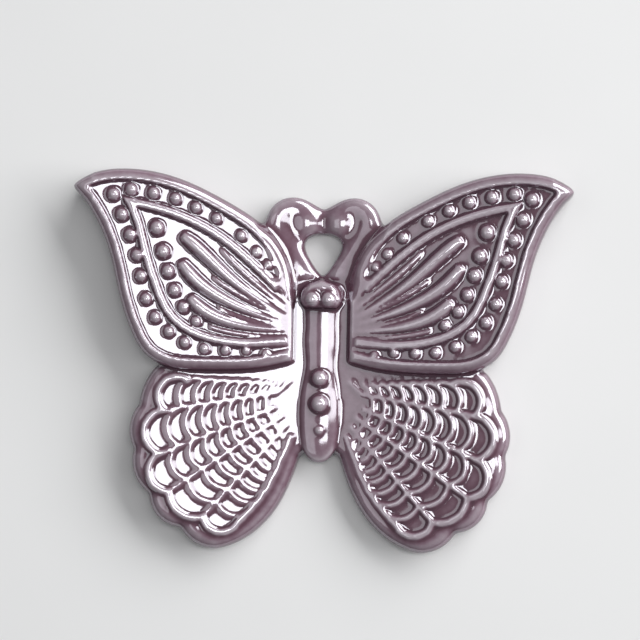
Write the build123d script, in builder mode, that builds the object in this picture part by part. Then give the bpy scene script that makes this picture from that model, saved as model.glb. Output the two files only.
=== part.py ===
"""Butterfly ornament in glazed ceramic, lying on its flat back, in millimetres.

X runs from wing to wing, Y from the tail to the antennae and Z up out of the back. The origin lies on the
back face, under the body's centre line. The right half is modelled, and the left half is its mirror image.
Places are shares, in plan, of the span and the length of the wing or antenna that carries them.
"""

import os
from math import cos, radians, sin, tan

from build123d import *

# Forewing: a slab that rises outwards, with a raised rim round a sunk field
forewing_span = 50.7
forewing_length = 40.4
forewing_low = 2.4
forewing_root_thickness = 5.0
forewing_tilt = 6.5
forewing_shoulder = 2.6
forewing_rim_inset = 2.4
forewing_rim_height = 1.0

# Relief in the forewing field
border_width = 1.5
border_height = 0.9
outer_bead_radius = 1.3
outer_bead_end_radius = 0.9
inner_bead_radius = 1.5
inner_bead_end_radius = 1.05
streak_radius = 1.3
streak_end_radius = 0.45
vein_radius = 0.5
vein_end_radius = 0.35

# Hindwing: a lower slab with a scalloped edge, and a strip that runs up beside the body
hindwing_span = 38.4
hindwing_length = 38.1
hindwing_root_thickness = 4.2
hindwing_tilt = 5.0
hindwing_shoulder = 2.4
notch_round = 1.2
hindwing_rim_width = 1.3
hindwing_rim_height = 0.8
strip_reach = 12.0
strip_front = 14.0

# Net in the hindwing field
net_line_width = 0.9
net_height = 0.65

# Body, head and eyes
body_half_width = 4.0
body_front = 11.6
body_tail = 20.4
body_plinth = 4.4
body_crown = 1.0
head_half_width = 4.3
head_front = 16.6
head_back = 10.6
head_height = 7.4
head_round = 1.0
eye_radius = 1.7
eye_offset = 1.65
body_bead_radius = 1.9

# Antennae: webs that close the hanging loop between them, each with a curled ridge and a knob
antenna_reach = 12.0
antenna_front = 33.2
antenna_height = 3.0
antenna_tilt = 6.5
curl_radius = 3.1
curl_end_radius = 2.4
curl_sink = 1.5
knob_radius = 3.2
knob_sink = 1.3

# Cuts run past what they cut by this much
overrun = 1.0

# Half-round beads stand on their flat side
seated = (Align.CENTER, Align.CENTER, Align.MIN)


def rising_plane(height, tilt):
    """A plane at a height over the body axis, rising to the right by a tilt in degrees."""
    angle = radians(tilt)
    return Plane(origin=(0, 0, height), x_dir=(cos(angle), 0, sin(angle)), z_dir=(-sin(angle), 0, cos(angle)))


def in_plan(shares, span, length, low=0):
    """Points in plan from pairs of shares of a span and a length, with the length starting at -low."""
    return [(across * span, along * length - low) for across, along in shares]


def part_way(start, end, share):
    """A size part of the way from one to another."""
    return start + (end - start) * share


def bead_row(places, start_radius, end_radius, floor):
    """Half-round beads on a floor plane at places in plan, shrinking from first to last."""
    last = len(places) - 1
    with BuildPart(floor) as row:
        for count, (x, y) in enumerate(places):
            with Locations((x / floor.x_dir.X, y)):
                Sphere(part_way(start_radius, end_radius, count / last), arc_size1=0, align=seated)
    return row.part


def tapered_ridge(points, radii, floor, sink=0):
    """A rounded ridge on a floor plane along a curve in plan, with its radii at even steps."""
    with BuildPart() as ridge:
        with BuildLine():
            path = Spline(*[floor.from_local_coords((x / floor.x_dir.X, y, -sink)) for x, y in points])
        for count, radius in enumerate(radii):
            step = count / (len(radii) - 1)
            along = path % step
            with BuildSketch(Plane(origin=path @ step, x_dir=floor.z_dir.cross(along), z_dir=along)):
                Circle(radius)
        sweep(multisection=True)
        split(bisect_by=floor, keep=Keep.TOP)
    return ridge.part


# Body: a plinth under a low, rounded thorax and abdomen, widest at the abdomen
body_along_shares = (1.00, 0.88, 0.72, 0.42, 0.22, -0.02, -0.20, -0.40, -0.60, -0.79, -0.92, -0.98, -1.0)
body_width_shares = (0.70, 0.80, 0.77, 0.80, 0.78, 0.72, 0.84, 1.00, 1.00, 0.90, 0.66, 0.36, 0.0)
body_edge = [
    (width * body_half_width, along * (body_front if along > 0 else body_tail))
    for width, along in zip(body_width_shares, body_along_shares)
]

with BuildSketch() as body_half:
    with BuildLine():
        Spline(*body_edge)
        Polyline(body_edge[-1], (0, body_front), body_edge[0])
    make_face()

with BuildPart() as body_top:
    add(body_half.sketch)
    revolve(axis=Axis.Y, revolution_arc=-180)
    scale(by=(1, 1, body_crown / body_half_width))

with BuildPart() as body:
    add(body_half.sketch)
    extrude(amount=body_plinth)
    mirror(about=Plane.YZ)
    with Locations((0, 0, body_plinth)):
        add(body_top.part)

# Head: a rounded block with a low point between the antennae
head_shares = ((0.0, 1.0), (0.20, 0.90), (0.55, 0.82), (0.92, 0.68), (1.0, 0.40), (0.72, 0.0))
head_edge = in_plan(head_shares, head_half_width, head_front - head_back, -head_back)

with BuildPart() as head:
    with BuildSketch():
        with BuildLine():
            Spline(*head_edge)
            Polyline(head_edge[-1], (0, head_back), head_edge[0])
        make_face()
        mirror(about=Plane.YZ)
    extrude(amount=head_height)
    fillet(head.faces().sort_by(Axis.Z)[-1].edges(), head_round)
    add(body.part, mode=Mode.SUBTRACT)

# Eyes: two beads sunk in the back half of the head
eye_along_share = 0.28
eye_sink_share = 0.35
eye_place = part_way(head_back, head_front, eye_along_share)

with BuildPart() as eyes:
    with Locations((0, eye_place, head_height - eye_sink_share * eye_radius)):
        with Locations((-eye_offset, 0), (eye_offset, 0)):
            Sphere(eye_radius)
    add(head.part, mode=Mode.SUBTRACT)
    add(body.part, mode=Mode.SUBTRACT)

# Body beads: three along the crest of the abdomen, the last one small
body_bead_along_shares = (-0.17, -0.42, -0.68)
body_bead_size_shares = (0.92, 1.0, 0.5)
body_bead_sink_share = 0.2
body_bead_level = body_plinth + body_crown - body_bead_sink_share * body_bead_radius

with BuildPart() as body_beads:
    for along, size in zip(body_bead_along_shares, body_bead_size_shares):
        with Locations((0, along * body_tail, body_bead_level)):
            Sphere(size * body_bead_radius)
    add(body.part, mode=Mode.SUBTRACT)

# Forewing: the blank has the outline and a round shoulder, and the floor plane parts slab from rim
forewing_trailing_shares = (
    (0.110, 0.054), (0.237, 0.015), (0.473, 0.0), (0.592, 0.012), (0.690, 0.074),
    (0.748, 0.188), (0.797, 0.361), (0.830, 0.535), (0.880, 0.708), (1.0, 0.908),
)
forewing_leading_shares = (
    (1.0, 0.908), (0.899, 0.980), (0.789, 1.0), (0.592, 0.965), (0.394, 0.856), (0.252, 0.745),
    (0.110, 0.394),
)
forewing_trailing = in_plan(forewing_trailing_shares, forewing_span, forewing_length, forewing_low)
forewing_leading = in_plan(forewing_leading_shares, forewing_span, forewing_length, forewing_low)
forewing_floor = rising_plane(forewing_root_thickness, forewing_tilt)
forewing_crest = forewing_floor.offset(forewing_rim_height)
forewing_top = forewing_crest.origin.Z + forewing_span * tan(radians(forewing_tilt)) + overrun

with BuildPart() as forewing_blank:
    with BuildSketch():
        with BuildLine():
            Spline(*forewing_trailing)
            Spline(*forewing_leading)
            Line(forewing_leading[-1], forewing_trailing[0])
        make_face()
    extrude(amount=forewing_top)
    split(bisect_by=forewing_crest, keep=Keep.BOTTOM)
    fillet(forewing_blank.faces().sort_by(Axis.Z)[-1].edges(), forewing_shoulder)

with BuildPart() as forewing_edge_band:
    with BuildSketch():
        with BuildLine():
            Spline(*forewing_trailing)
            Spline(*forewing_leading)
        trace(line_width=2 * forewing_rim_inset)
    extrude(amount=forewing_top)

with BuildPart() as right_forewing:
    add(forewing_blank.part)
    split(bisect_by=forewing_floor, keep=Keep.BOTTOM)

with BuildPart() as right_forewing_rim:
    add(forewing_blank.part)
    split(bisect_by=forewing_floor, keep=Keep.TOP)
    add(forewing_edge_band.part, mode=Mode.INTERSECT)

# Forewing border: a leaf-shaped ridge, open at the root
border_upper_shares = ((0.759, 0.829), (0.592, 0.782), (0.434, 0.693), (0.296, 0.564), (0.170, 0.415))
border_lower_shares = (
    (0.759, 0.829), (0.720, 0.708), (0.688, 0.559), (0.647, 0.411), (0.606, 0.302), (0.550, 0.228),
    (0.473, 0.178), (0.394, 0.153), (0.237, 0.144), (0.137, 0.156),
)
border_upper = in_plan(border_upper_shares, forewing_span, forewing_length, forewing_low)
border_lower = in_plan(border_lower_shares, forewing_span, forewing_length, forewing_low)

with BuildPart() as right_forewing_border:
    with BuildSketch():
        with BuildLine():
            Spline(*border_upper)
            Spline(*border_lower)
        trace(line_width=border_width)
        with Locations(border_upper[0]):
            Circle(border_width / 2)
    extrude(amount=forewing_top)
    split(bisect_by=forewing_floor, keep=Keep.TOP)
    split(bisect_by=forewing_floor.offset(border_height), keep=Keep.BOTTOM)
    add(forewing_edge_band.part, mode=Mode.SUBTRACT)

# Forewing beads: two outer rows between rim and border, from the tip inwards, and a row inside the border
upper_bead_shares = (
    (0.824, 0.866), (0.755, 0.891), (0.667, 0.876), (0.580, 0.851), (0.499, 0.809),
    (0.418, 0.757), (0.320, 0.673), (0.260, 0.592), (0.213, 0.530), (0.178, 0.455),
)
lower_bead_shares = (
    (0.789, 0.767), (0.755, 0.666), (0.726, 0.567), (0.710, 0.463), (0.688, 0.351), (0.651, 0.260),
    (0.596, 0.191), (0.533, 0.139), (0.456, 0.109), (0.375, 0.104), (0.292, 0.104), (0.215, 0.092),
)
inner_bead_shares = (
    (0.651, 0.703), (0.625, 0.587), (0.604, 0.490), (0.578, 0.396), (0.542, 0.312), (0.491, 0.243),
)
upper_beads = in_plan(upper_bead_shares, forewing_span, forewing_length, forewing_low)
lower_beads = in_plan(lower_bead_shares, forewing_span, forewing_length, forewing_low)
inner_beads = in_plan(inner_bead_shares, forewing_span, forewing_length, forewing_low)

with BuildPart() as right_forewing_outer_beads:
    add(bead_row(upper_beads, outer_bead_radius, outer_bead_end_radius, forewing_floor))
    add(bead_row(lower_beads, outer_bead_radius, outer_bead_end_radius, forewing_floor))
    add(forewing_edge_band.part, mode=Mode.SUBTRACT)
    add(right_forewing_border.part, mode=Mode.SUBTRACT)

with BuildPart() as right_forewing_inner_beads:
    add(bead_row(inner_beads, inner_bead_radius, inner_bead_end_radius, forewing_floor))
    add(right_forewing_border.part, mode=Mode.SUBTRACT)

# Forewing streaks and veins: drops with a round head and a long tail towards the root, and thin lines
streak_shares = (
    ((0.552, 0.669), (0.464, 0.579), (0.355, 0.455), (0.237, 0.351), (0.142, 0.280)),
    ((0.554, 0.536), (0.483, 0.436), (0.385, 0.356), (0.266, 0.292), (0.142, 0.245)),
    ((0.517, 0.364), (0.444, 0.287), (0.355, 0.243), (0.247, 0.218), (0.142, 0.208)),
)
vein_shares = (
    ((0.394, 0.604), (0.286, 0.470), (0.197, 0.379), (0.142, 0.322)),
    ((0.424, 0.464), (0.325, 0.380), (0.227, 0.315), (0.142, 0.264)),
    ((0.404, 0.317), (0.315, 0.268), (0.227, 0.242), (0.142, 0.227)),
    ((0.434, 0.218), (0.325, 0.188), (0.227, 0.178), (0.142, 0.178)),
)
streak_size_shares = (0.45, 1.0, 0.95, 0.85, 0.72, 0.56, 0.40, 0.20, 0.0)
streak_radii = [part_way(streak_end_radius, streak_radius, share) for share in streak_size_shares]
vein_radii = (vein_end_radius, vein_radius, vein_radius, vein_end_radius)

with BuildPart() as right_forewing_streaks:
    for shares in streak_shares:
        streak_path = in_plan(shares, forewing_span, forewing_length, forewing_low)
        add(tapered_ridge(streak_path, streak_radii, forewing_floor))
    add(right_forewing_border.part, mode=Mode.SUBTRACT)

with BuildPart() as right_forewing_veins:
    for shares in vein_shares:
        vein_path = in_plan(shares, forewing_span, forewing_length, forewing_low)
        add(tapered_ridge(vein_path, vein_radii, forewing_floor))
    add(right_forewing_border.part, mode=Mode.SUBTRACT)
    add(right_forewing_streaks.part, mode=Mode.SUBTRACT)

# Hindwing: five lobes between rounded notches, an inner edge back to the tail, and the strip by the body
notch_shares = (
    (0.872, -0.052), (0.948, -0.244), (0.971, -0.480), (0.885, -0.717), (0.721, -0.890), (0.529, -1.0),
)
lobe_shares = ((0.930, -0.157), (0.997, -0.381), (0.971, -0.593), (0.844, -0.829), (0.635, -0.975))
inner_edge_shares = ((0.529, -1.0), (0.359, -0.927), (0.221, -0.782), (0.148, -0.635), (0.104, -0.507))
strip_back_share = 0.8
notches = in_plan(notch_shares, hindwing_span, hindwing_length)
lobes = in_plan(lobe_shares, hindwing_span, hindwing_length)
inner_edge = in_plan(inner_edge_shares, hindwing_span, hindwing_length)
strip_edge = ((0, -strip_back_share * body_tail), (0, strip_front), (strip_reach, strip_front))
hindwing_floor = rising_plane(hindwing_root_thickness, hindwing_tilt)
hindwing_top = hindwing_root_thickness + hindwing_span * tan(radians(hindwing_tilt)) + overrun

with BuildPart() as hindwing_blank:
    with BuildSketch() as hindwing_outline:
        with BuildLine():
            for start, lobe, end in zip(notches, lobes, notches[1:]):
                ThreePointArc(start, lobe, end)
            Spline(*inner_edge)
            Polyline(inner_edge[-1], *strip_edge, notches[0])
        make_face()
        hollows = [hindwing_outline.vertices().sort_by_distance(notch)[0] for notch in notches[1:-1]]
        fillet(hollows, notch_round)
    extrude(amount=hindwing_top)
    split(bisect_by=hindwing_floor, keep=Keep.BOTTOM)
    fillet(hindwing_blank.faces().sort_by(Axis.Z)[-1].edges(), hindwing_shoulder)
    add(forewing_blank.part, mode=Mode.SUBTRACT)
    add(head.part, mode=Mode.SUBTRACT)
    add(body.part, mode=Mode.SUBTRACT)

with BuildPart() as right_hindwing:
    add(hindwing_blank.part)

# Hindwing rim: a raised line inside the shoulder that repeats the lobes and runs back along the inner edge
rim_notch_shares = (
    (0.688, -0.113), (0.812, -0.273), (0.826, -0.501), (0.779, -0.701), (0.599, -0.832), (0.416, -0.860),
)
rim_lobe_shares = ((0.839, -0.173), (0.909, -0.402), (0.880, -0.620), (0.730, -0.802), (0.520, -0.908))
rim_inner_shares = ((0.148, -0.402), (0.205, -0.550), (0.277, -0.695), (0.355, -0.795), (0.416, -0.860))
rim_notches = in_plan(rim_notch_shares, hindwing_span, hindwing_length)
rim_lobes = in_plan(rim_lobe_shares, hindwing_span, hindwing_length)
rim_inner = in_plan(rim_inner_shares, hindwing_span, hindwing_length)

with BuildPart() as right_hindwing_rim:
    with BuildSketch():
        with BuildLine():
            for start, lobe, end in zip(rim_notches, rim_lobes, rim_notches[1:]):
                ThreePointArc(start, lobe, end)
            Spline(*rim_inner)
        trace(line_width=hindwing_rim_width)
        with Locations(*rim_notches, rim_inner[0]):
            Circle(hindwing_rim_width / 2)
    extrude(amount=hindwing_top)
    split(bisect_by=hindwing_floor, keep=Keep.TOP)
    split(bisect_by=hindwing_floor.offset(hindwing_rim_height), keep=Keep.BOTTOM)

# Hindwing net: spokes that fan out from the body to the rim, and arcs between them that repeat the lobes
spoke_start_shares = ((0.182, -0.113), (0.225, -0.170), (0.225, -0.245), (0.190, -0.290), (0.165, -0.336))
net_stem_share = (0.150, -0.100)
arc_place_shares = (0.08, 0.17, 0.26, 0.36, 0.46, 0.57, 0.69, 0.83)
spoke_starts = in_plan(spoke_start_shares, hindwing_span, hindwing_length)
net_stem = in_plan((net_stem_share,), hindwing_span, hindwing_length)[0]
spokes = [Line(start, end) for start, end in zip(spoke_starts, rim_notches)]
spokes.append(Spline(*rim_inner))

with BuildPart() as right_hindwing_net:
    with BuildSketch():
        with BuildLine():
            Line(net_stem, spoke_starts[1])
            for spoke in spokes[1:-1]:
                add(spoke)
        trace(line_width=net_line_width)
        for upper, lower, lobe in zip(spokes, spokes[1:], rim_lobes):
            base = (upper @ 0 + lower @ 0) / 2
            for share in arc_place_shares:
                with BuildLine():
                    ThreePointArc(upper @ share, base + (Vector(*lobe) - base) * share, lower @ share)
                trace(line_width=net_line_width)
    extrude(amount=hindwing_top)
    split(bisect_by=hindwing_floor, keep=Keep.TOP)
    split(bisect_by=hindwing_floor.offset(net_height), keep=Keep.BOTTOM)
    add(right_hindwing_rim.part, mode=Mode.SUBTRACT)
    add(forewing_blank.part, mode=Mode.SUBTRACT)

# Antenna: a web from the head to the curl, whose inner side is half of the hanging loop
antenna_outer_shares = (
    (0.580, 0.398), (0.830, 0.608), (1.0, 0.795), (0.975, 0.855), (0.892, 0.928),
    (0.717, 0.982), (0.5, 1.0), (0.25, 0.973), (0.0, 0.919),
)
loop_top_shares = ((0.0, 0.765), (0.2, 0.759), (0.333, 0.708))
loop_side_shares = ((0.333, 0.708), (0.2, 0.608), (0.0, 0.512))
antenna_outer = in_plan(antenna_outer_shares, antenna_reach, antenna_front)
loop_top = in_plan(loop_top_shares, antenna_reach, antenna_front)
loop_side = in_plan(loop_side_shares, antenna_reach, antenna_front)
antenna_floor = rising_plane(antenna_height, antenna_tilt)
antenna_top = antenna_height + antenna_reach * tan(radians(antenna_tilt)) + overrun

with BuildPart() as right_antenna:
    with BuildSketch():
        with BuildLine():
            Spline(*antenna_outer)
            Line(antenna_outer[-1], loop_top[0])
            Spline(*loop_top)
            Spline(*loop_side)
            Polyline(loop_side[-1], (0, head_back), antenna_outer[0])
        make_face()
    extrude(amount=antenna_top)
    split(bisect_by=antenna_floor, keep=Keep.BOTTOM)
    add(head.part, mode=Mode.SUBTRACT)
    add(body.part, mode=Mode.SUBTRACT)
    add(forewing_blank.part, mode=Mode.SUBTRACT)
    add(hindwing_blank.part, mode=Mode.SUBTRACT)

# Antenna curl: a round ridge that runs up from the head, over the top and down into a knob
curl_shares = (
    (0.267, 0.494), (0.433, 0.608), (0.617, 0.711), (0.742, 0.795), (0.775, 0.861), (0.692, 0.910),
    (0.517, 0.934), (0.358, 0.913), (0.283, 0.870),
)
knob_share = (0.267, 0.840)
curl_middle_share = 0.6
curl_radii = (curl_radius, part_way(curl_radius, curl_end_radius, curl_middle_share), curl_end_radius)
curl_path = in_plan(curl_shares, antenna_reach, antenna_front)
knob_place = in_plan((knob_share,), antenna_reach, antenna_front)[0]

with BuildPart() as right_antenna_curl:
    add(tapered_ridge(curl_path, curl_radii, antenna_floor, curl_sink))
    with Locations(antenna_floor.from_local_coords((*knob_place, -knob_sink))):
        Sphere(knob_radius)
    split(bisect_by=antenna_floor, keep=Keep.TOP)
    add(head.part, mode=Mode.SUBTRACT)
    add(forewing_blank.part, mode=Mode.SUBTRACT)

right_pieces = {
    "right_forewing": right_forewing.part,
    "right_forewing_rim": right_forewing_rim.part,
    "right_forewing_border": right_forewing_border.part,
    "right_forewing_outer_beads": right_forewing_outer_beads.part,
    "right_forewing_inner_beads": right_forewing_inner_beads.part,
    "right_forewing_streaks": right_forewing_streaks.part,
    "right_forewing_veins": right_forewing_veins.part,
    "right_hindwing": right_hindwing.part,
    "right_hindwing_rim": right_hindwing_rim.part,
    "right_hindwing_net": right_hindwing_net.part,
    "right_antenna": right_antenna.part,
    "right_antenna_curl": right_antenna_curl.part,
}
middle_pieces = {"body": body.part, "head": head.part, "eyes": eyes.part, "body_beads": body_beads.part}

left_pieces = {}
for name, piece in right_pieces.items():
    with BuildPart() as left_piece:
        mirror(piece, about=Plane.YZ)
    left_pieces[name.replace("right", "left")] = left_piece.part

os.makedirs("parts", exist_ok=True)
for name, piece in (middle_pieces | right_pieces | left_pieces).items():
    piece.label = name
    export_step(piece, f"parts/{name}.step")
    print(name, len(piece.solids()), "solids", round(piece.volume), "mm3")
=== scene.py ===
# %% [markdown]
# # A pressed porcelain butterfly under plum glaze
# The ornament is one pressing. Clay is pushed into a mould, comes out with all its relief, is
# fired, dipped in a plum glaze and fired again. The glaze runs off the crests and gathers in the
# hollows, so the crests turn pale and the hollows stay dark. This lesson makes the object in that
# order: clay, glaze, pieces, colour, light.

# %% Load the frame
import math

import bmesh
import bpy
from mathutils import Matrix, Vector
from mathutils.bvhtree import BVHTree


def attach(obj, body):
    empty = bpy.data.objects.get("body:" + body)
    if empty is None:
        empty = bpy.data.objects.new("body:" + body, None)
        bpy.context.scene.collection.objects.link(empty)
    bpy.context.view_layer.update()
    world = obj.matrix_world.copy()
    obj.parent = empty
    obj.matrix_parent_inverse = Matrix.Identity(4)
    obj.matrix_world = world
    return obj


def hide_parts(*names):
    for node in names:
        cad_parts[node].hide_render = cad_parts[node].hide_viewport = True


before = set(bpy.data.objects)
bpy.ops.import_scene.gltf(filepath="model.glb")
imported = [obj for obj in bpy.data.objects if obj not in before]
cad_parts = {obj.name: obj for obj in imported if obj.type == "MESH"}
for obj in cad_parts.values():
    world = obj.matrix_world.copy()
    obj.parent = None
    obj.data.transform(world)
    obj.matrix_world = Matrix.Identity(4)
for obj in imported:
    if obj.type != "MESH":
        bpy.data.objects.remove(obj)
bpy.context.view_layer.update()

mm = 0.001

# %% [markdown]
# ## Worn relief
# Beads, ridges and net stand on wing floors that rise outwards. In the photo they look fullest far
# out and run out towards the roots. The relief could be modelled anew, but the CAD solids already
# have it, so only its height above the floor is brought down. The net of the left lower wing looks
# shallower in the photo than the right one, and so does the cord of the left antenna.

# %% How much of the relief is left
steep = math.tan(math.radians(6.5))
gentle = math.tan(math.radians(5.0))
fade_from = 6 * mm
fade_to = 18 * mm
# Floor height at the axis, rise of the floor, share left at the root, share left further out.
reliefs = {
    "forewing_": (5.0 * mm, steep, 0.35, 0.88),
    "hindwing_rim": (4.2 * mm, gentle, 0.3, 0.65),
    "left_hindwing_net": (4.2 * mm, gentle, 0.18, 0.34),
    "right_hindwing_net": (4.2 * mm, gentle, 0.28, 0.75),
    "left_antenna_curl": (3.0 * mm, steep, 0.5, 0.5),
    "right_antenna_curl": (3.0 * mm, steep, 0.6, 0.6),
}


def relief_left(across, root_share, outer_share):
    """The share of the relief that is left at a distance from the axis."""
    share = min(max((across - fade_from) / (fade_to - fade_from), 0), 1)
    return root_share + (outer_share - root_share) * share * share * (3 - 2 * share)


def wear_down(corners, floor_height, floor_rise, root_share, outer_share):
    """Bring the corners that stand above a sloping floor nearer to it."""
    for corner in corners:
        across = abs(corner.co.x)
        floor = floor_height + floor_rise * across
        if corner.co.z > floor:
            corner.co.z = floor + (corner.co.z - floor) * relief_left(across, root_share, outer_share)


for kind, (_, _, root_share, outer_share) in reliefs.items():
    halfway = relief_left((fade_from + fade_to) / 2, root_share, outer_share)
    print(kind, "keeps", root_share, "at the root,", round(halfway, 2), "halfway,", outer_share, "outside")

# %% [markdown]
# ## The clay
# The real body is one piece of clay, while the CAD has touching solids, one for each raised form. A
# chain of boolean unions could join them, but shared walls make that slow and brittle. So copies of
# the meshes are only put together here, and the next step draws one skin round all of them.

# %% Put the meshes together
def new_object(name, mesh):
    """An object for a mesh, shown in the scene."""
    made = bpy.data.objects.new(name, mesh)
    bpy.context.scene.collection.objects.link(made)
    return made


joined = bmesh.new()
for name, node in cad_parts.items():
    first = len(joined.verts)
    joined.from_mesh(node.data)
    joined.verts.ensure_lookup_table()
    for kind, measures in reliefs.items():
        if kind in name:
            wear_down(joined.verts[first:], *measures)
clay_mesh = bpy.data.meshes.new("clay")
joined.to_mesh(clay_mesh)
joined.free()
clay = new_object("clay", clay_mesh)
print("put together:", len(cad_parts), "nodes with", len(clay_mesh.polygons), "triangles")

# %% [markdown]
# The skin is drawn with a voxel Remesh: the inner walls vanish and a closed body is left. A finer
# grain keeps smaller forms but costs many more faces. This one is about a tenth of a bead across,
# so the beads stay round and each finished piece stays light enough to share.

# %% Draw the skin
clay_grain = 0.19 * mm


def evaluated_mesh(piece, name):
    """A plain mesh of an object as its modifiers leave it."""
    graph = bpy.context.evaluated_depsgraph_get()
    mesh = bpy.data.meshes.new_from_object(piece.evaluated_get(graph), depsgraph=graph)
    mesh.name = name
    return mesh


skin = clay.modifiers.new("skin", "REMESH")
skin.mode = "VOXEL"
skin.voxel_size = clay_grain
pressed_mesh = evaluated_mesh(clay, "pressed")
bpy.data.objects.remove(clay)
print("pressed clay:", len(pressed_mesh.polygons), "faces")

# %% [markdown]
# A skin round touching solids can leave small bubbles where two faces met. They would be loose
# shells inside the finished piece, so only the outer shell is kept, which is the one with the most
# faces.

# %% Keep the outer shell
def shells(sheet):
    """The lists of faces that hang together in a bmesh."""
    waiting = set(sheet.faces)
    found = []
    while waiting:
        shell = [waiting.pop()]
        for face in shell:
            for edge in face.edges:
                for other in edge.link_faces:
                    if other in waiting:
                        waiting.remove(other)
                        shell.append(other)
        found.append(shell)
    return found


work = bmesh.new()
work.from_mesh(pressed_mesh)
found = sorted(shells(work), key=len)
bmesh.ops.delete(work, geom=[face for shell in found[:-1] for face in shell], context="FACES")
open_edges = sum(1 for edge in work.edges if len(edge.link_faces) != 2)
work.to_mesh(pressed_mesh)
work.free()
coat = new_object("coat", pressed_mesh)
print("shells:", [len(shell) for shell in found], "open edges:", open_edges)

# %% [markdown]
# ## The glaze coat
# A glaze is a thin glass that melts over the clay and rounds off every edge. A Bevel finds no edges
# on such a skin, and a Smooth modifier can't measure anything. A Geometry Nodes tree can do both:
# it melts the surface, more in some zones than in others, and notes what the colour needs. Its
# sizes are named inputs.

# %% Sizes of the coat
coat_sizes = (
    ("Melt Steps", "NodeSocketInt", 12),
    ("Tip From", "NodeSocketFloat", 46 * mm),
    ("Tip To", "NodeSocketFloat", 49.5 * mm),
    ("Tip Weight", "NodeSocketFloat", 0.4),
    ("Root", "NodeSocketVector", (5.6 * mm, 15.5 * mm, 0.0)),
    ("Root Reach", "NodeSocketFloat", 3.5 * mm),
    ("Feeler From", "NodeSocketFloat", 15 * mm),
    ("Feeler To", "NodeSocketFloat", 19 * mm),
    ("Feeler Slant", "NodeSocketFloat", -0.43),
    ("Feeler Edge", "NodeSocketFloat", 1.8 * mm),
    ("Feeler Inside", "NodeSocketFloat", 0.6 * mm),
    ("Feeler Weight", "NodeSocketFloat", 0.2),
    ("Rub Steps", "NodeSocketInt", 150),
    ("Form Steps", "NodeSocketInt", 30),
    ("Fall Steps", "NodeSocketInt", 12),
    ("Ripple Height", "NodeSocketFloat", 0.07 * mm),
    ("Ripple Scale", "NodeSocketFloat", 220.0),
    ("Back Height", "NodeSocketFloat", 0.5 * mm),
)


def new_tree(name, kind, inputs, outputs):
    """A node tree with its sockets, and the nodes that stand for them."""
    tree = bpy.data.node_groups.new(name, kind)
    for way, sockets in (("INPUT", inputs), ("OUTPUT", outputs)):
        for socket_name, socket_kind, value in sockets:
            socket = tree.interface.new_socket(socket_name, in_out=way, socket_type=socket_kind)
            if value is not None:
                socket.default_value = value
    return tree, tree.nodes.new("NodeGroupInput").outputs, tree.nodes.new("NodeGroupOutput").inputs


coat_tree, given, result = new_tree(
    "Glaze coat",
    "GeometryNodeTree",
    [("Clay", "NodeSocketGeometry", None), *coat_sizes, ("Glaze", "NodeSocketMaterial", None)],
    [("Coat", "NodeSocketGeometry", None)],
)
print(coat_tree.name, "has the sizes", [name for name, _, _ in coat_sizes])

# %% [markdown]
# ### Melting
# Surface tension rounds small forms more than large ones. Blurring the place of each point with
# that of its neighbours does the same, and the number of steps says how far the glaze has run.

# %% Melt the edges
def add_node(tree, kind, inputs=None, **settings):
    """A node with its settings made and its inputs linked or set."""
    made = tree.nodes.new(kind)
    for name, value in settings.items():
        setattr(made, name, value)
    for name, value in (inputs or {}).items():
        if isinstance(value, bpy.types.NodeSocket):
            tree.links.new(value, made.inputs[name])
        else:
            made.inputs[name].default_value = value
    return made


def blurred(value, steps, kind, weight=1.0):
    """A value on the coat, evened out with its neighbours a number of times."""
    sockets = {"Value": value, "Iterations": steps, "Weight": weight}
    return add_node(coat_tree, "GeometryNodeBlurAttribute", sockets, data_type=kind).outputs[0]


place = add_node(coat_tree, "GeometryNodeInputPosition").outputs[0]
melted = blurred(place, given["Melt Steps"], "FLOAT_VECTOR")
soft = add_node(coat_tree, "GeometryNodeSetPosition", {"Geometry": given["Clay"], "Position": melted})
print("nodes up to the melting:", len(coat_tree.nodes))

# %% [markdown]
# ### Rubbing
# Three places are blunter than melting makes them: the wing tips, which are rubbed round, the spots
# where an antenna runs into wing and head, and the feelers, whose cords are soft. Each is a zone
# with a weight, worked out from the distance to the axis so that it holds on both sides. Painting
# the weights by hand would have to be done again after every change of size.

# %% Zones at the tips and roots
def ramped(tree, value, start, end, high, low=0.0):
    """A number that runs from low to high while a value runs from start to end."""
    sockets = {0: value, 1: start, 2: end, 3: low, 4: high}
    return add_node(tree, "ShaderNodeMapRange", sockets).outputs[0]


def reckoned(tree, operation, *numbers, **settings):
    """The result of a math node on sockets or numbers."""
    sockets = dict(enumerate(numbers))
    return add_node(tree, "ShaderNodeMath", sockets, operation=operation, **settings).outputs[0]


def vectors(operation, first, second):
    """A vector math node of the coat."""
    return add_node(coat_tree, "ShaderNodeVectorMath", {0: first, 1: second}, operation=operation)


sides = add_node(coat_tree, "ShaderNodeSeparateXYZ", {0: place}).outputs
outward = reckoned(coat_tree, "ABSOLUTE", sides["X"])
near_tip = ramped(coat_tree, outward, given["Tip From"], given["Tip To"], given["Tip Weight"])
folded = add_node(coat_tree, "ShaderNodeCombineXYZ", {0: outward, 1: sides["Y"]}).outputs[0]
from_root = vectors("DISTANCE", folded, given["Root"]).outputs["Value"]
near_root = ramped(coat_tree, from_root, given["Root Reach"], 0.0, 1.0)
print("nodes up to the zones at tips and roots:", len(coat_tree.nodes))

# %% [markdown]
# The feelers lie in front of the head and between the upper wings. Their zone starts a little in
# front of the head and ends at a slanting line beside each feeler, so that the first beads of the
# wings stay sharp. The heaviest of the three zones then says how much a point is rubbed.

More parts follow.
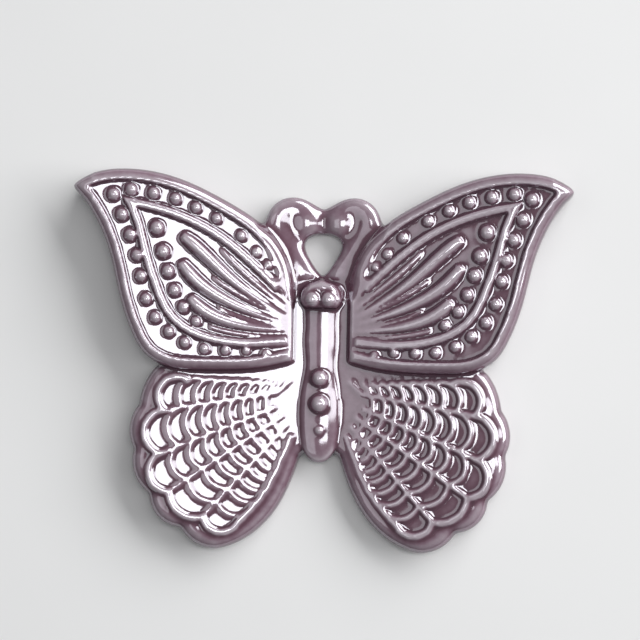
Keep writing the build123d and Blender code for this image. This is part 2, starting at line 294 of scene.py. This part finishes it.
# %% Zone on the feelers, and the rubbing
forward = sides["Y"]
in_front = ramped(coat_tree, forward, given["Feeler From"], given["Feeler To"], given["Feeler Weight"])
past_line = reckoned(coat_tree, "MULTIPLY_ADD", forward, given["Feeler Slant"], outward)
inside_line = ramped(coat_tree, past_line, given["Feeler Edge"], given["Feeler Inside"], 1.0)
on_feeler = reckoned(coat_tree, "MULTIPLY", in_front, inside_line)
tip_or_root = reckoned(coat_tree, "MAXIMUM", near_tip, near_root)
rub = reckoned(coat_tree, "MAXIMUM", tip_or_root, on_feeler)
rubbed = blurred(place, given["Rub Steps"], "FLOAT_VECTOR", rub)
blunt = add_node(
    coat_tree, "GeometryNodeSetPosition", {"Geometry": soft.outputs[0], "Position": rubbed}
)
print("nodes up to the rubbing:", len(coat_tree.nodes))

# %% [markdown]
# ### What the colour needs
# Glaze is thin where the surface stands above the broad form, deep where it lies below, and gathers
# on steep flanks, which are also darkened as painted shade. A painted map could say where, but all of
# it follows from the shape. The broad form is the surface blurred much further. The height above it
# is kept as the attribute "relief", the steepness as "fall".

# %% Relief and fall
def noted(geometry, name, value):
    """The coat with a number kept at each point under a name."""
    sockets = {"Geometry": geometry, "Name": name, "Value": value}
    kind = "GeometryNodeStoreNamedAttribute"
    return add_node(coat_tree, kind, sockets, data_type="FLOAT", domain="POINT").outputs[0]


broad = blurred(place, given["Form Steps"], "FLOAT_VECTOR")
facing = add_node(coat_tree, "GeometryNodeInputNormal").outputs[0]
above = vectors("SUBTRACT", place, broad).outputs[0]
relief = vectors("DOT_PRODUCT", above, facing).outputs["Value"]
with_relief = noted(blunt.outputs[0], "relief", relief)
upright = add_node(coat_tree, "ShaderNodeSeparateXYZ", {0: facing}).outputs["Z"]
fall = reckoned(coat_tree, "SUBTRACT", 1.0, blurred(upright, given["Fall Steps"], "FLOAT"))
with_fall = noted(with_relief, "fall", fall)
print("nodes up to the two attributes:", len(coat_tree.nodes))

# %% [markdown]
# ### Ripple
# A dipped glaze sets with a slow ripple, which makes its reflections waver. A bump in the material
# would not be in the mesh, so each point moves a little along its normal, by a noise that is the
# same in every run. The back stays flat. Realize Instances and Set Material close the tree.

# %% Ripple, and the end of the tree
wave = add_node(
    coat_tree, "ShaderNodeTexNoise", {"Vector": place, "Scale": given["Ripple Scale"], "Detail": 1.0}
).outputs[0]
centred = reckoned(coat_tree, "SUBTRACT", wave, 0.5)
rise = reckoned(coat_tree, "MULTIPLY", centred, given["Ripple Height"])
lift = add_node(
    coat_tree, "ShaderNodeVectorMath", {0: facing, "Scale": rise}, operation="SCALE"
).outputs[0]
off_back = reckoned(coat_tree, "GREATER_THAN", sides["Z"], given["Back Height"])
rippled = add_node(
    coat_tree, "GeometryNodeSetPosition", {"Geometry": with_fall, "Selection": off_back, "Offset": lift}
)
realized = add_node(coat_tree, "GeometryNodeRealizeInstances", {"Geometry": rippled.outputs[0]})
dipped = add_node(
    coat_tree, "GeometryNodeSetMaterial", {"Geometry": realized.outputs[0], "Material": given["Glaze"]}
)
coat_tree.links.new(dipped.outputs[0], result["Coat"])
print("nodes in the whole tree:", len(coat_tree.nodes))

# %% [markdown]
# ### Dipping
# On the bench the fired clay is dipped once. Here the tree runs once as a modifier. Its inputs are
# set by their sockets' identifiers before anything is evaluated. The result is kept as a plain
# mesh, and the modifier goes, so that later steps work on what is really there.

# %% Run the glaze over the clay
glaze = bpy.data.materials.new("plum_glaze")
chosen = {name: value for name, _, value in coat_sizes}
chosen["Glaze"] = glaze
dip = coat.modifiers.new("dip", "NODES")
dip.node_group = coat_tree
for socket in coat_tree.interface.items_tree:
    if socket.in_out == "INPUT" and socket.name in chosen:
        dip[socket.identifier] = chosen[socket.name]
coat_mesh = evaluated_mesh(coat, "glazed")
coat.modifiers.remove(dip)
coat.data = coat_mesh
values = sorted(item.value for item in coat_mesh.attributes["relief"].data)
steps = (0.01, 0.1, 0.25, 0.5, 0.75, 0.9, 0.99)
print("relief in mm:", [round(values[int(step * (len(values) - 1))] / mm, 3) for step in steps])

# %% [markdown]
# ## The pieces
# The mould has eight fields: head, body, two antennae, two upper and two lower wings. Straight cuts
# would run through beads and lines, so the coat is parted along the edges where the CAD slabs meet
# on the back. Each field then is a closed piece with all the relief that it carries. First come the
# outlines of the slabs.

# %% Outlines on the back
weld = 0.002 * mm
back_skin = 0.02 * mm
fields = (
    "head", "body", "right_antenna", "left_antenna", "right_forewing", "left_forewing",
    "right_hindwing", "left_hindwing",
)


def footprint(name):
    """The part of a CAD slab that lies on the back plane, as one welded sheet."""
    sheet = bmesh.new()
    sheet.from_mesh(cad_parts[name].data)
    bmesh.ops.remove_doubles(sheet, verts=sheet.verts, dist=weld)
    raised = [corner for corner in sheet.verts if corner.co.z > back_skin]
    bmesh.ops.delete(sheet, geom=raised, context="VERTS")
    return sheet


footprints = {name: footprint(name) for name in fields}
feet = {name: BVHTree.FromBMesh(sheet) for name, sheet in footprints.items()}
print("faces on the back:", {name: len(sheet.faces) for name, sheet in footprints.items()})

# %% [markdown]
# Each outline becomes a tall prism to cut with. A prism just as wide as its slab would shave the
# flank of the coat, so its free outline is let out. An edge that two fields share stays where it
# is, so that the pieces meet there without a gap and without an overlap.

# %% Cutters from the outlines
seam_gap = 0.05 * mm
reach_out = 0.6 * mm
cutter_low = -1 * mm
cutter_high = 20 * mm


def let_out(sheet, name):
    """Move the corners of a field's free outline outwards."""
    outward = {}
    for edge in sheet.edges:
        if edge.is_boundary:
            start, end = edge.verts
            side = Vector((end.co.y - start.co.y, start.co.x - end.co.x, 0)).normalized()
            inside = edge.link_faces[0].calc_center_median() - start.co
            away = side if side.dot(inside) < 0 else -side
            for corner in edge.verts:
                outward[corner] = outward.get(corner, Vector()) + away
    for corner, way in outward.items():
        gaps = [foot.find_nearest(corner.co)[3] for other, foot in feet.items() if other != name]
        if min(gaps) > seam_gap:
            corner.co += way.normalized() * reach_out


def field_cutter(name):
    """A tall prism over the let-out footprint of a field."""
    sheet = footprints[name].copy()
    let_out(sheet, name)
    for corner in sheet.verts:
        corner.co.z = cutter_low
    grown = bmesh.ops.extrude_face_region(sheet, geom=sheet.faces[:])
    for corner in grown["geom"]:
        if isinstance(corner, bmesh.types.BMVert):
            corner.co.z = cutter_high
    bmesh.ops.recalc_face_normals(sheet, faces=sheet.faces)
    mesh = bpy.data.meshes.new("cutter")
    sheet.to_mesh(mesh)
    sheet.free()
    return new_object("cutter", mesh)


cutters = {field: field_cutter(field) for field in fields[:-1]}
print("faces of the cutters:", {field: len(cutter.data.polygons) for field, cutter in cutters.items()})

# %% [markdown]
# What a cutter and the coat have in common is the piece, and the rest goes on to the next cutter.
# What is left after seven cuts is the eighth piece. The pieces could also be cut by hand in Edit
# Mode, but not the same way each time. The Manifold solver is used because coat and cutters are
# closed, and it is quick on a coat of some hundred thousand faces.

# %% Part the coat
def cut(source, cutter, operation, name):
    """A mesh of one object cut by another."""
    knife = source.modifiers.new("knife", "BOOLEAN")
    knife.operation = operation
    knife.solver = "MANIFOLD"
    knife.object = cutter
    mesh = evaluated_mesh(source, name)
    source.modifiers.remove(knife)
    return mesh


piece_meshes = {}
for field, cutter in cutters.items():
    piece_meshes[field] = cut(coat, cutter, "INTERSECT", field + "_glazed")
    coat.data = cut(coat, cutter, "DIFFERENCE", "rest")
    bpy.data.objects.remove(cutter)
    print(field, len(piece_meshes[field].polygons), "faces, left over:", len(coat.data.polygons))
piece_meshes[fields[-1]] = coat.data
bpy.data.objects.remove(coat)

# %% [markdown]
# ## Backs and seams
# The back is not seen in the photo. It is taken as flat and wiped clean of glaze, as a piece that
# stands on a kiln shelf has to be. The many small faces there are swapped for one flat sheet of bare
# clay, which is a cleaner mesh than a flattened one. Where a cut wall meets the coat the edge is
# marked sharp, and the coat itself stays smooth across the seams.

# %% Flat backs and sharp seams
faces_down = -0.995
back_depth = 0.05 * mm
sharp_from = math.radians(55)


def bare_back(work):
    """Swap the small faces of a back for flat sheets in the second material; how many there are."""
    low = [face for face in work.faces if face.normal.z < faces_down]
    back = [face for face in low if face.calc_center_median().z < back_depth]
    bmesh.ops.delete(work, geom=back, context="FACES")
    open_edges = [edge for edge in work.edges if edge.is_boundary]
    filled = bmesh.ops.holes_fill(work, edges=open_edges, sides=0)["faces"]
    for face in filled:
        face.material_index = 1
    bmesh.ops.triangulate(work, faces=filled, ngon_method="EAR_CLIP")
    return len(filled)


def mark_seams(work):
    """Turn all faces outwards and smooth, with sharp edges at the cut walls."""
    bmesh.ops.recalc_face_normals(work, faces=work.faces)
    for face in work.faces:
        face.smooth = True
    for edge in work.edges:
        edge.smooth = len(edge.link_faces) == 2 and edge.calc_face_angle() < sharp_from


glazed_pieces = {}
for field, mesh in piece_meshes.items():
    work = bmesh.new()
    work.from_mesh(mesh)
    for shell in sorted(shells(work), key=len)[:-1]:
        bmesh.ops.delete(work, geom=shell, context="FACES")
    sheets = bare_back(work)
    mark_seams(work)
    loose = sum(1 for edge in work.edges if len(edge.link_faces) != 2)
    work.to_mesh(mesh)
    work.free()
    glazed_pieces[field] = new_object(field + "_glazed", mesh)
    print(field, len(mesh.polygons), "faces,", sheets, "back sheets,", loose, "open edges")

# %% [markdown]
# ## The glaze colour
# Plum glaze is a tinted glass. Thin on the crests it shows the pale clay through a lilac film, and
# deep in the hollows it is almost black plum. A node group turns the relief into that colour,
# shifts it towards the dark on steep flanks, where the glaze has run and gathered and where shade is
# painted in as well, and clouds it a little, as no glaze is quite even.

# %% Colour from the depth of the glaze
pooled = (0.078, 0.035, 0.052, 1)
plum = (0.125, 0.058, 0.082, 1)
mauve = (0.225, 0.142, 0.182, 1)
thin = (0.46, 0.395, 0.44, 1)
full_relief = 0.11 * mm
cloud_scale = 700.0
cloud_detail = 2.0
cloud_shift = 0.06
# Steep flanks are darkened: partly glaze gathered there, partly painted shade of the flanks.
fall_from = 0.12
fall_to = 0.6
fall_shift = -0.45
glaze_depths = ((0.38, plum), (0.62, mauve))

break_and_shade_tree, given, result = new_tree(
    "Glaze break and flank shade",
    "ShaderNodeTree",
    [
        ("Relief", "NodeSocketFloat", 0.0),
        ("Fall", "NodeSocketFloat", 0.0),
        ("Place", "NodeSocketVector", None),
    ],
    [("Colour", "NodeSocketColor", None)],
)
noise = {"Vector": given["Place"], "Scale": cloud_scale, "Detail": cloud_detail}
cloud = add_node(break_and_shade_tree, "ShaderNodeTexNoise", noise).outputs[0]
clouding = ramped(break_and_shade_tree, cloud, 0.25, 0.75, cloud_shift, low=-cloud_shift)
height = ramped(break_and_shade_tree, given["Relief"], -full_relief, full_relief, 1.0)
# Painted shade: steep flanks are pushed towards the dark, on top of the glaze gathered there.
flank_pooling_and_shade = ramped(break_and_shade_tree, given["Fall"], fall_from, fall_to, fall_shift)
clouded = reckoned(break_and_shade_tree, "ADD", height, clouding)
depth = reckoned(break_and_shade_tree, "ADD", clouded, flank_pooling_and_shade, use_clamp=True)
ramp = add_node(break_and_shade_tree, "ShaderNodeValToRGB", {0: depth})
ramp.color_ramp.elements[0].color = pooled
ramp.color_ramp.elements[1].color = thin
for position, colour in glaze_depths:
    ramp.color_ramp.elements.new(position).color = colour
break_and_shade_tree.links.new(ramp.outputs["Color"], result["Colour"])
print(break_and_shade_tree.name, "runs over", len(ramp.color_ramp.elements), "colours")

# %% [markdown]
# Over the colour lies a hard clear gloss with a little metal lustre. It mirrors more light than
# plain glass, so its index of refraction is set well above that of glass, and the reflections get a
# faint blue tint. A metallic shader would lose the plum colour where no light is mirrored.

# %% Glaze material
gloss = {"Roughness": 0.09, "IOR": 2.6, "Specular Tint": (0.93, 0.93, 1.0, 1.0)}


def shaded(material):
    """Turn a material's nodes on and give back its tree and its Principled shader."""
    material.use_nodes = True
    return material.node_tree, material.node_tree.nodes["Principled BSDF"]


tree, shader = shaded(glaze)
measured = {
    "Relief": add_node(tree, "ShaderNodeAttribute", attribute_name="relief").outputs["Fac"],
    "Fall": add_node(tree, "ShaderNodeAttribute", attribute_name="fall").outputs["Fac"],
    "Place": add_node(tree, "ShaderNodeTexCoord").outputs["Object"],
}
broken_and_shaded = add_node(tree, "ShaderNodeGroup", measured, node_tree=break_and_shade_tree)
tree.links.new(broken_and_shaded.outputs["Colour"], shader.inputs["Base Color"])
for name, value in gloss.items():
    shader.inputs[name].default_value = value
print(glaze.name, "has the gloss", gloss)

# %% [markdown]
# ## Bare clay and paper
# The back is fired clay without glaze, and the table is matt paper. Both are a dull pale colour with
# a fine grain, so one node group makes the grain, and each material gives it its own scale and two
# colours. The cream colour of the clay is a guess from other porcelain.

# %% Grain, and the bare clay
grain_tree, given, result = new_tree(
    "Fine grain",
    "ShaderNodeTree",
    [
        ("Place", "NodeSocketVector", None),
        ("Scale", "NodeSocketFloat", 30.0),
        ("Detail", "NodeSocketFloat", 2.0),
        ("Dark", "NodeSocketColor", None),
        ("Light", "NodeSocketColor", None),
    ],
    [("Colour", "NodeSocketColor", None)],
)
noise = {"Vector": given["Place"], "Scale": given["Scale"], "Detail": given["Detail"]}
grain = add_node(grain_tree, "ShaderNodeTexNoise", noise).outputs[0]
mixed = add_node(
    grain_tree, "ShaderNodeMix", {0: grain, 6: given["Dark"], 7: given["Light"]}, data_type="RGBA"
)
grain_tree.links.new(mixed.outputs[2], result["Colour"])


def grained(name, scale, detail, dark, light, roughness):
    """A dull material with a fine grain between two colours."""
    made = bpy.data.materials.new(name)
    tree, shader = shaded(made)
    place = add_node(tree, "ShaderNodeTexCoord").outputs["Object"]
    sockets = {"Place": place, "Scale": scale, "Detail": detail, "Dark": dark, "Light": light}
    group = add_node(tree, "ShaderNodeGroup", sockets, node_tree=grain_tree)
    tree.links.new(group.outputs["Colour"], shader.inputs["Base Color"])
    shader.inputs["Roughness"].default_value = roughness
    return made


clay_dark = (0.60, 0.55, 0.48, 1)
clay_light = (0.74, 0.70, 0.63, 1)
bisque = grained("bare_bisque", 1500.0, 3.0, clay_dark, clay_light, roughness=0.85)
print("made", bisque.name, "with the group", grain_tree.name)

# %% [markdown]
# ## Handing over
# Nothing on the ornament moves, so each piece rides on its one body. It takes both materials, and
# it stands in for the CAD nodes that it covers: the slab of its field and all relief on it. The
# eyes belong to the head.

# %% Hand the pieces to the frame
for field, piece in glazed_pieces.items():
    piece.data.materials.clear()
    piece.data.materials.append(glaze)
    piece.data.materials.append(bisque)
    covered = [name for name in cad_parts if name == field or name.startswith(field + "_")]
    if field == "head":
        covered.append("eyes")
    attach(piece, "root")
    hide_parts(*covered)
    print(piece.name, "covers", covered)

# %% [markdown]
# ## The table
# The ornament lies on a plain pale table, which shows its soft shadow. One large square does, a
# hair below the back so that the two surfaces don't fight for the same place.

# %% Table
table_half = 3.0
table_height = -0.05 * mm
table_mesh = bpy.data.meshes.new("table")
table_corners = [
    (-table_half, -table_half, table_height),
    (table_half, -table_half, table_height),
    (table_half, table_half, table_height),
    (-table_half, table_half, table_height),
]
table_mesh.from_pydata(table_corners, [], [(0, 1, 2, 3)])
table = new_object("table", table_mesh)
paper_dark = (0.77, 0.775, 0.775, 1)
paper_light = (0.80, 0.805, 0.805, 1)
paper = grained("pale_table", 30.0, 2.0, paper_dark, paper_light, roughness=0.7)
table_mesh.materials.append(paper)
print("table:", 2 * table_half, "m wide")

# %% [markdown]
# ## The light
# On a mirror-like glaze the lights are seen as shapes, so each has a task. A large window low on
# the right gives most of the light and the soft shadow on the left. A small box overhead is
# mirrored by the left wings, which turn white. A strip further right is mirrored by the right half
# of the body. A dim reflector on the left leaves the lilac sheen at the roots of the right wings.
# The room adds a little light from everywhere.

# %% Softboxes
light_height = 0.60


def softbox(name, place, target, width, depth, power):
    """A rectangular area light aimed at a target."""
    lamp = bpy.data.lights.new(name, "AREA")
    lamp.shape = "RECTANGLE"
    lamp.size = width
    lamp.size_y = depth
    lamp.energy = power
    made = bpy.data.objects.new(name, lamp)
    bpy.context.scene.collection.objects.link(made)
    made.location = place
    made.rotation_euler = (Vector(target) - Vector(place)).to_track_quat("-Z", "Y").to_euler()
    print(name, "at", place, "with", power, "W")


def hung(name, x, y, width, depth, power):
    """A softbox that hangs level above the table."""
    softbox(name, (x, y, light_height), (x, y, 0), width, depth, power)


hung("overhead_softbox", x=0.0475, y=0.025, width=0.145, depth=0.22, power=0.60)
hung("right_strip", x=0.31, y=0.03, width=0.38, depth=0.12, power=0.60)
softbox("side_window", (1.309, 0.817, 0.927), (0, 0, 0), width=2.6, depth=1.1, power=50.0)
hung("left_reflector", x=-0.265, y=0.0, width=0.30, depth=0.50, power=0.39)
room_light = (0.085, 0.085, 0.09, 1)
world = bpy.data.worlds.new("room")
bpy.context.scene.world = world
world.use_nodes = True
world.node_tree.nodes["Background"].inputs["Color"].default_value = room_light
bpy.context.scene.view_settings.view_transform = "Standard"

# %% [markdown]
# ## The camera
# The photo looks almost straight down. The lean of the camera was found from how wide the flanks
# look on each side, and its roll and aim from the outline. Its axes are built from those numbers
# and put into a matrix, which is clearer for a view from above than three turns one after another.

# %% Camera
camera_distance = 500 * mm
camera_lean = (0.07, -0.0319)
camera_roll = -0.0191
camera_aim = Vector((-0.194, 8.237, 5.0)) * mm
lens = bpy.data.cameras.new("camera")
lens.sensor_width = 36
lens.lens = 140.1
camera = bpy.data.objects.new("camera", lens)
bpy.context.scene.collection.objects.link(camera)
towards = Vector((math.sin(camera_lean[0]), math.sin(camera_lean[1]), 1)).normalized()
up = Vector((math.sin(camera_roll), math.cos(camera_roll), 0))
right = up.cross(towards).normalized()
up = towards.cross(right)
turn = Matrix((right, up, towards)).transposed().to_4x4()
camera.matrix_world = Matrix.Translation(camera_aim + towards * camera_distance) @ turn
bpy.context.scene.camera = camera
print("camera at", [round(value, 3) for value in camera.matrix_world.translation])
